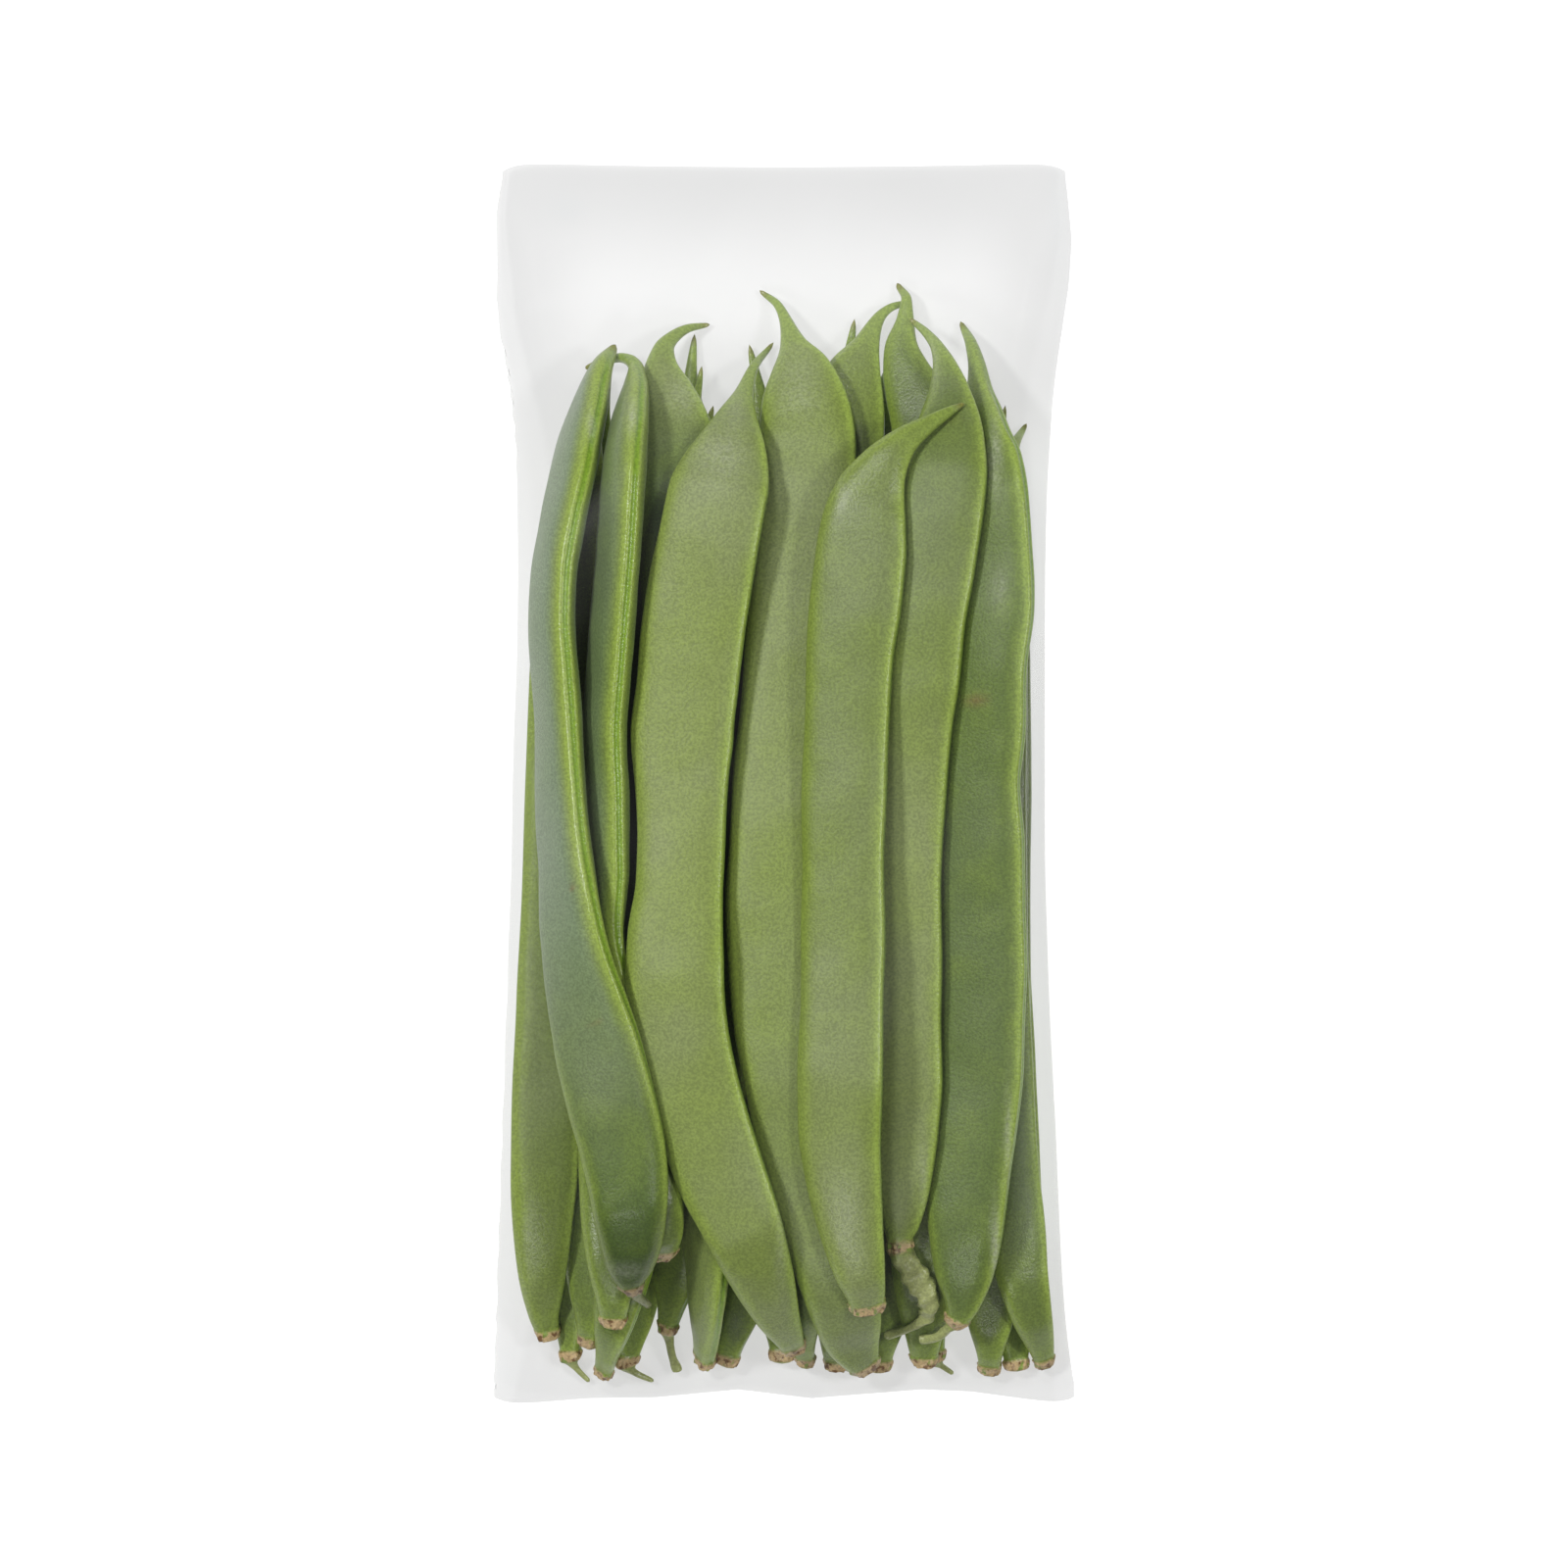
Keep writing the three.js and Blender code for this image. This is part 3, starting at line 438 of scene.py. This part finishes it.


# The beans in the bag, each lying where the frame has it. Each has its own depth of green, and painted shade
# darkens those deep in the bag and the shadowed places between them. Some have a grey bloom or small brown
# marks, and some have pale painted highlights near their ends.
SHADE_PLACES = (-100 * MM, -10 * MM, 55 * MM, 78 * MM)  # along y
BEAN_TONES_AND_SHADES = {  # at those four places, from 0, fresh and unshaded, to 1, deep green in painted shade
    "bean_front_right": (0.65, 0.68, 0.6, 0.5),
    "bean_left_rim": (0.9, 0.17, 0.12, 0.1),
    "bean_left_on_edge": (0.4, 0.6, 0.5, 0.3),
    "bean_second_far_right": (0.5, 0.7, 0.7, 0.5),
    "bean_second_right": (0.4, 0.6, 0.6, 0.2),
    "bean_second_left": (0.25, 1.0, 1.0, 0.1),
    "bean_low_left": (0.25, 0.4, 0.4, 0.4),
    "bean_front_middle": (0.25, 0.05, 0.1, 0.1),
    "bean_front_inner_right": (0.12, 0.03, 0.4, 0.5),
    "bean_front_left": (0.12, 0.0, 0.06, 0.1),
    "bean_front_top": (0.0, 0.25, 0.28, 0.2),
}
# painted shade for the pods hidden deep in the bag
HIDDEN_SHADE = (0.5, 1.0, 1.0, 0.4)
BLOOMS = {"bean_left_rim": 0.7, "bean_left_on_edge": 0.3, "bean_low_inner_left": 0.5}
BLOOM_START = (-75 * MM, -15 * MM)  # along y, over which it comes in
BLOOM_MARGIN = (2 * MM, 5 * MM)  # from the seam
CALYX_PLACES = {"bean_front_inner_right": 28.0 * MM}  # along the pod, where it has a thick stalk
MARK_STRENGTH = 0.6
MARKS = {  # x, y, radius, in millimetres
    "bean_left_rim": [(-43.0, -21.0, 0.6), (-38.0, -48.6, 0.5)],
    "bean_front_inner_right": [(23.6, 3.8, 0.7), (34.6, 74.0, 0.9)],
    "bean_front_right": [(38.8, 17.0, 1.2)],
    "bean_front_middle": [(2.6, -77.4, 0.6)],
}
# painted highlights, where the lamps would shine on glossy ends, seams and shoulders
PAINTED_HIGHLIGHTS = {  # x, y, half-width, half-length, in millimetres, and strength
    "bean_front_left": [(-13, 66, 5, 5.5, 0.36), (-10, 77, 2, 6, 0.22), (-0.6, -92, 1, 12, 0.25)],
    "bean_second_left": [(-20.5, 79, 4, 4.5, 0.3)],
    "bean_front_middle": [(2.6, 81, 4.5, 7, 0.26)],
    "bean_left_rim": [(-39.2, 73, 0.9, 3, 0.5), (-32, -99, 3.5, 1.6, 0.4)],
    "bean_left_on_edge": [(-30.8, 74.6, 1, 3.6, 0.5), (-24.2, -88, 0.7, 6, 0.4)],
    "bean_front_top": [(13, -88, 2.2, 12, 0.16), (11.6, 58, 0.8, 4, 0.3)],
    "bean_front_right": [
        (43, 66, 1.3, 8, 0.5), (44, 40, 1, 4, 0.3), (45.6, -72, 0.7, 9, 0.4), (43, -95, 0.8, 7, 0.6),
    ],
    "bean_front_inner_right": [(30, 86, 1.6, 6, 0.3), (28.4, -80, 0.8, 7, 0.3)],
    "bean_low_left": [(-52, -95, 1.6, 9, 0.2)],
}
FIRST_DRAW = 40  # each pod draws its own unevenness, numbered from here

skin = bean_skin()
bean_points = []
for number, name in enumerate(sorted(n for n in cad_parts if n.startswith("bean_"))):
    points, facts = pod_surface(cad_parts[name], FIRST_DRAW + number, CALYX_PLACES.get(name))
    tones_and_shades = BEAN_TONES_AND_SHADES.get(name, HIDDEN_SHADE)
    facts["deep_and_shaded"] = np.interp(points[..., 1], SHADE_PLACES, tones_and_shades)
    facts["bloom"] = BLOOMS.get(name, 0.0) * fade(points[..., 1], *BLOOM_START)
    facts["bloom"] *= fade(facts["from_seam"], *BLOOM_MARGIN)
    facts["blemish"] = np.zeros(points.shape[:2])
    for x, y, radius in MARKS.get(name, []):
        away = np.hypot(points[..., 0] - x * MM, points[..., 1] - y * MM)
        facts["blemish"] += MARK_STRENGTH * np.exp(-((away / (radius * MM)) ** 2))
    # painted highlights, laid on as soft patches
    facts["painted_highlight"] = np.zeros(points.shape[:2])
    for x, y, half_width, half_length, strength in PAINTED_HIGHLIGHTS.get(name, []):
        away = np.hypot((points[..., 0] - x * MM) / half_width, (points[..., 1] - y * MM) / half_length) / MM
        facts["painted_highlight"] += strength * np.exp(-(away**2))
    bean_points.append(points.reshape(-1, 3))
    bean = closed_tube(name.replace("bean_", "pod_"), points, facts)
    bean.data.materials.append(skin)
    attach(bean, "root")
    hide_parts(name)


# The bag. It is a tube of thin clear film, welded across its lower edge and open at the top, which lies
# nearly flat there. The beans stretch it smooth, and it is slack over its empty end.
FILM_STEP = 2.0 * MM
FILM_ROUND = 160
FILM_DIRECTIONS = 240
FILM_AIR = 0.35 * MM  # between the film and what it goes round
TABLE_AIR = 0.05 * MM
EVENING_ROUNDS = 12
BAG_END = 127 * MM
WELD_START = 118 * MM  # along y, where the lower end's waves, the corners and the mouth's sag begin
CORNER_START = 120 * MM
CORNER_ROUNDING = 1.8 * MM
CORNER_SHARPNESS = 24
MOUTH_START = 116 * MM
MOUTH_SAG = 0.9 * MM
UNDERSIDE = (-120 * MM, 118 * MM)  # from where to where along y it lies flat
UNDERSIDE_LIFT = 0.7 * MM
UNDERSIDE_MARGIN = 9 * MM  # from the bag's side to the flat underside
NEAR_STEPS = 1.6  # a row goes round the beans' points up to this many steps away
COLLAR_START = 80 * MM  # the empty end of the bag, held up by its crown and its two shoulders
SHOULDER_PLACE = 0.7
SHOULDER_HEIGHT = 0.8
LEFT_REACH = [  # in millimetres, how far the bag's sides stand from its middle at places along y
    (-127, 59.2), (-124, 59.4), (-101, 58.6), (-70, 57.6), (-20, 55.8), (9, 55.2), (25, 54.6),
    (60, 54.4), (70, 54.8), (79, 55.8), (88, 57.4), (99, 59.2), (117, 58.8), (127, 57),
]
RIGHT_REACH = [
    (-127, 59), (-124, 59.4), (-112, 57.6), (-99, 56.6), (-70, 55.4), (-47, 54.2), (-16, 53.2),
    (40, 53.2), (60, 53.6), (81, 55), (102, 58.2), (111, 58.8), (122, 57.8), (127, 57),
]
MID_HEIGHTS = [(-127, 5), (-118, 8), (-100, 13), (60, 13), (95, 6), (127, 1.6)]
CROWNS = [(80, 17), (96, 11), (112, 6), (127, 2.6)]
BOTTOM_WAVE = [  # how far the beans' ends make the lower edge draw in, at places along x
    (-59.4, 0), (-40, 1.6), (-26, 1.8), (-9.4, 3.4), (5.6, 1.6), (28, 3.4), (38, 3), (51, 1.2), (59.4, 0),
]
UPPER_FILM = (2 * MM, 6 * MM)  # the heights over which the film becomes free to fold
FOLD_START = (78 * MM, 104 * MM)  # along y, at the empty end
FOLD_RISE = 0.9 * MM
FINE_FOLD_RISE = 0.25 * MM
PLEAT_START = (108 * MM, 122 * MM)  # down along y, at the weld
PLEAT_RISE = 0.7 * MM
SMUDGES_AND_CREASE_SHADE = [  # where the film looks darker, two smudges and at x 56 the painted shade of a fold's crease: x, y, half-width, half-length, in millimetres
    (-45, 117.5, 4, 3), (56, 117, 1.8, 12), (-58, -119, 3, 4),
]
SMUDGE_STRENGTH = 0.8
CLEAR_FILM = (0.01, 0.012, 0.01)
HAZY_FILM = (0.05, 0.05, 0.05)
# lighter film colours, painted light up the right side and over the empty end
SIDE_LIGHT_FILM = (0.2, 0.22, 0.22)
SLACK_LIGHT_FILM = (0.28, 0.28, 0.28)
SMUDGE_AND_CREASE_FILM = (0.01, 0.03, 0.03)
FILM_HAZE_PER_M = 26
FILM_ALPHA = 0.2
FILM_ROUGHNESS = 0.3
FILM_IOR = 1.5
FILM_SPECULAR = 0.12


def read(pairs, value):
    """A length in metres from a list of pairs in millimetres."""
    return np.interp(value, [p[0] * MM for p in pairs], [p[1] * MM for p in pairs])


def film_reaches(rows, directions):
    """How far the film reaches at each row in each direction round the bag, from the bag's long axis."""
    beans = np.vstack(bean_points)
    reaches = []
    for y in rows:
        left = -read(LEFT_REACH, y) + FILM_AIR
        right = read(RIGHT_REACH, y) - FILM_AIR
        mid = read(MID_HEIGHTS, y)
        held = [(right, mid), (left, mid)]
        if UNDERSIDE[0] < y < UNDERSIDE[1]:
            held += [(right - UNDERSIDE_MARGIN, UNDERSIDE_LIFT), (left + UNDERSIDE_MARGIN, UNDERSIDE_LIFT)]
        if y >= COLLAR_START:
            crown = read(CROWNS, y)
            shoulder = SHOULDER_HEIGHT * crown
            held += [(0, crown), (SHOULDER_PLACE * right, shoulder), (SHOULDER_PLACE * left, shoulder)]
        near = beans[np.abs(beans[:, 1] - y) < NEAR_STEPS * FILM_STEP]
        outline = np.vstack([np.array(held), near[:, (0, 2)]])
        reaches.append((outline @ directions).max(axis=0))
    return np.array(reaches)


def softened(values, rounds):
    """Rows evened out with their neighbours, never inwards."""
    tight = values.copy()
    for _ in range(rounds):
        ahead = np.vstack([values[1:], values[-1:]])
        behind = np.vstack([values[:1], values[:-1]])
        values = np.maximum(tight, 0.5 * values + 0.25 * (ahead + behind))
    return values


def evenly_round(ring, count):
    """The closed ring's points, spaced evenly, from its first point on."""
    closed = np.vstack([ring, ring[:1]])
    at = np.concatenate([[0], np.cumsum(np.linalg.norm(np.diff(closed, axis=0), axis=1))])
    wanted = np.linspace(0, at[-1], count, endpoint=False)
    return np.stack([np.interp(wanted, at, closed[:, c]) for c in range(closed.shape[1])], axis=1)


def film_form():
    """The film's points as [row, place round it, xyz], wrapped round the beans and the bag's sides."""
    rows = np.arange(-BAG_END, BAG_END + FILM_STEP / 2, FILM_STEP)
    angles = np.linspace(0, 2 * math.pi, FILM_DIRECTIONS, endpoint=False)
    directions = np.stack([np.cos(angles), np.sin(angles)])
    reaches = softened(film_reaches(rows, directions), EVENING_ROUNDS) + FILM_AIR
    turn = angles[1] - angles[0]
    slope = (np.roll(reaches, -1, axis=1) - np.roll(reaches, 1, axis=1)) / (2 * turn)
    x = reaches * directions[0] - slope * directions[1]
    z = reaches * directions[1] + slope * directions[0]
    rings = []
    for number, y in enumerate(rows):
        ring = evenly_round(np.stack([x[number], z[number]], axis=1), FILM_ROUND)
        ring[:, 1] = np.maximum(ring[:, 1], TABLE_AIR)
        along = y + fade(np.array(-y), WELD_START, BAG_END) * read(BOTTOM_WAVE, ring[:, 0])
        out = np.abs(ring[:, 0]) / np.abs(ring[:, 0]).max()
        rounded = fade(np.array(abs(y)), CORNER_START, BAG_END)
        along = along - math.copysign(rounded, y) * CORNER_ROUNDING * out**CORNER_SHARPNESS
        along = along - fade(np.array(y), MOUTH_START, BAG_END) * MOUTH_SAG * (1 - out**2)
        rings.append(np.stack([ring[:, 0], along, ring[:, 1]], axis=1))
    return np.array(rings)


def film_wrinkles(rings):
    """Moves the slack film outwards in soft folds. Nothing moves inwards, towards the beans."""
    x, y, z = rings[..., 0], rings[..., 1], rings[..., 2]
    slack = fade(y, *FOLD_START)
    upper = fade(z, *UPPER_FILM)
    folds = 0.5 + 0.5 * np.sin(x / (9.5 * MM) + 1.3 * np.sin(y / (11 * MM)) + 0.6)
    fine = 0.5 + 0.5 * np.sin(x / (3.7 * MM) - y / (13 * MM) + 2.0 * np.sin(x / (21 * MM)))
    rings[..., 2] = z + slack * upper * (FOLD_RISE * folds + FINE_FOLD_RISE * fine)
    gathers = fade(-y, *PLEAT_START) * upper
    pleats = 0.5 + 0.5 * np.sin(x / (4.2 * MM) + 1.7 * np.sin(x / (13 * MM)))
    rings[..., 2] += gathers * PLEAT_RISE * pleats
    return rings


def film_material():
    """Clear film with a faint haze, and painted light that makes it lighter up its right side, in the beans'
    shadow, and over the middle of its empty end.
    """
    n = Nodes("clear_film")
    haze = n.span(n.noise(FILM_HAZE_PER_M, 3.0), 0.35, 0.7)
    colour = n.mix(haze, CLEAR_FILM, HAZY_FILM)
    # painted light: lighter up the right side, in the beans' shadow, and over the middle of the empty end
    colour = n.mix(n.fact("side"), colour, SIDE_LIGHT_FILM)
    colour = n.mix(n.fact("slack"), colour, SLACK_LIGHT_FILM)
    # two smudges, and the painted shade of a crease near the right top
    colour = n.mix(n.fact("smudge_and_crease_shade"), colour, SMUDGE_AND_CREASE_FILM)
    n.put(n.shader.inputs["Base Color"], colour)
    n.shader.inputs["Alpha"].default_value = FILM_ALPHA
    n.shader.inputs["Roughness"].default_value = FILM_ROUGHNESS
    n.shader.inputs["IOR"].default_value = FILM_IOR
    n.shader.inputs["Specular IOR Level"].default_value = FILM_SPECULAR
    return n.material


film_rings = film_wrinkles(film_form())
rings, sides = film_rings.shape[:2]
i, j = np.meshgrid(np.arange(rings - 1), np.arange(sides), indexing="ij")
k = (j + 1) % sides
quads = np.stack([i * sides + j, i * sides + k, (i + 1) * sides + k, (i + 1) * sides + j], axis=-1)

# the weld joins the upper and the lower half of the film's first row
half = sides // 2
weld = [[a, a + 1, sides - a - 1, sides - a] for a in range(1, half - 1)]
weld += [[0, 1, sides - 1], [half - 1, half, half + 1]]

film_mesh = bpy.data.meshes.new("film")
film_mesh.from_pydata(film_rings.reshape(-1, 3).tolist(), [], quads.reshape(-1, 4).tolist() + weld)
film_mesh.shade_smooth()

# painted light: the film is made lighter up its right side, in the shadow of the beans, and over the middle
# of its empty end
film_x, film_y = film_rings[..., 0], film_rings[..., 1]
side = fade(film_x, 44 * MM, 53 * MM) * fade(-film_y, -84 * MM, -60 * MM)
slack = fade(film_y, 74 * MM, 98 * MM) * fade(-film_y, -124 * MM, -100 * MM)
film_facts = {
    "side": side * fade(film_y, -106 * MM, -84 * MM),
    "slack": slack * fade(-np.abs(film_x), -56 * MM, -36 * MM),
    "smudge_and_crease_shade": np.zeros(film_x.shape),
}
for x, y, half_width, half_length in SMUDGES_AND_CREASE_SHADE:
    away = np.hypot((film_x - x * MM) / (half_width * MM), (film_y - y * MM) / (half_length * MM))
    film_facts["smudge_and_crease_shade"] += SMUDGE_STRENGTH * np.exp(-(away**2))
for key, values in film_facts.items():
    layer = film_mesh.attributes.new(key, "FLOAT", "POINT")
    layer.data.foreach_set("value", values.ravel().astype(np.float32))
film = bpy.data.objects.new("film", film_mesh)
bpy.context.scene.collection.objects.link(film)
film.data.materials.append(film_material())
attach(film, "root")
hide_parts("film_bag")


# The table that the bag lies on. It is a plain matt sheet that glows evenly though it is no lamp, a painted
# glow that makes it come out white all over and fills in the shadows round the bag, so that the edges of the
# clear film show on it.
TABLE_SIZE = 6
TABLE_DROP = 0.0002  # under the bag
TABLE_GREY = (0.4, 0.4, 0.4, 1)
TABLE_ROUGHNESS = 0.9
TABLE_SPECULAR = 0.1
GLOW_WHITE = (1, 1, 1, 1)
PAINTED_TABLE_GLOW = 0.88

bpy.ops.mesh.primitive_plane_add(size=TABLE_SIZE, location=(0, 0, -TABLE_DROP))
floor = bpy.context.object
floor.name = "floor"
floor_finish = Nodes("white_table")
floor_finish.shader.inputs["Base Color"].default_value = TABLE_GREY
floor_finish.shader.inputs["Roughness"].default_value = TABLE_ROUGHNESS
floor_finish.shader.inputs["Specular IOR Level"].default_value = TABLE_SPECULAR
floor_finish.shader.inputs["Emission Color"].default_value = GLOW_WHITE
floor_finish.shader.inputs["Emission Strength"].default_value = PAINTED_TABLE_GLOW
floor.data.materials.append(floor_finish.material)


# The light. Four soft round lamps hang over the table and are turned to the bag: a strong one to its left,
# a weaker one to its right, and one beyond each of its ends, a little to the left. The room is dim.
LAMPS = [  # name, place, width in metres, watts
    ("lamp_left", (-1.0, 0.5, 1.6), 0.28, 22.5),
    ("lamp_right", (1.0, 0.1, 1.6), 0.34, 12.2),
    ("lamp_above", (-0.5, 1.35, 1.9), 0.4, 15),
    ("lamp_below", (-0.45, -1.3, 1.9), 0.4, 10.5),
]
ROOM_LIGHT = 0.1

for name, place, width, watts in LAMPS:
    lamp = bpy.data.lights.new(name, "AREA")
    lamp.shape = "DISK"
    lamp.size = width
    lamp.energy = watts
    holder = bpy.data.objects.new(name, lamp)
    holder.location = place
    aim = holder.location * -1
    holder.rotation_euler = aim.to_track_quat("-Z", "Y").to_euler()
    bpy.context.scene.collection.objects.link(holder)
room = bpy.data.worlds.new("room")
room.use_nodes = True
room.node_tree.nodes["Background"].inputs["Color"].default_value = (1, 1, 1, 1)
room.node_tree.nodes["Background"].inputs["Strength"].default_value = ROOM_LIGHT
bpy.context.scene.world = room
bpy.context.scene.view_settings.view_transform = "Standard"

# The camera looks straight down on the middle of the bag, from so far up that what lies high in the bag
# looks hardly larger than what lies on the table.
PICTURE_WIDTH = 0.32
CAMERA_HEIGHT = 6.0  # over a level that is 10 mm above the table, where the picture has this width
LEVEL = 0.01
SENSOR_WIDTH = 36

camera_data = bpy.data.cameras.new("camera")
camera_data.sensor_width = SENSOR_WIDTH
camera_data.lens = SENSOR_WIDTH * CAMERA_HEIGHT / PICTURE_WIDTH
camera = bpy.data.objects.new("camera", camera_data)
camera.location = (0, 0, CAMERA_HEIGHT + LEVEL)
bpy.context.scene.collection.objects.link(camera)
bpy.context.scene.camera = camera
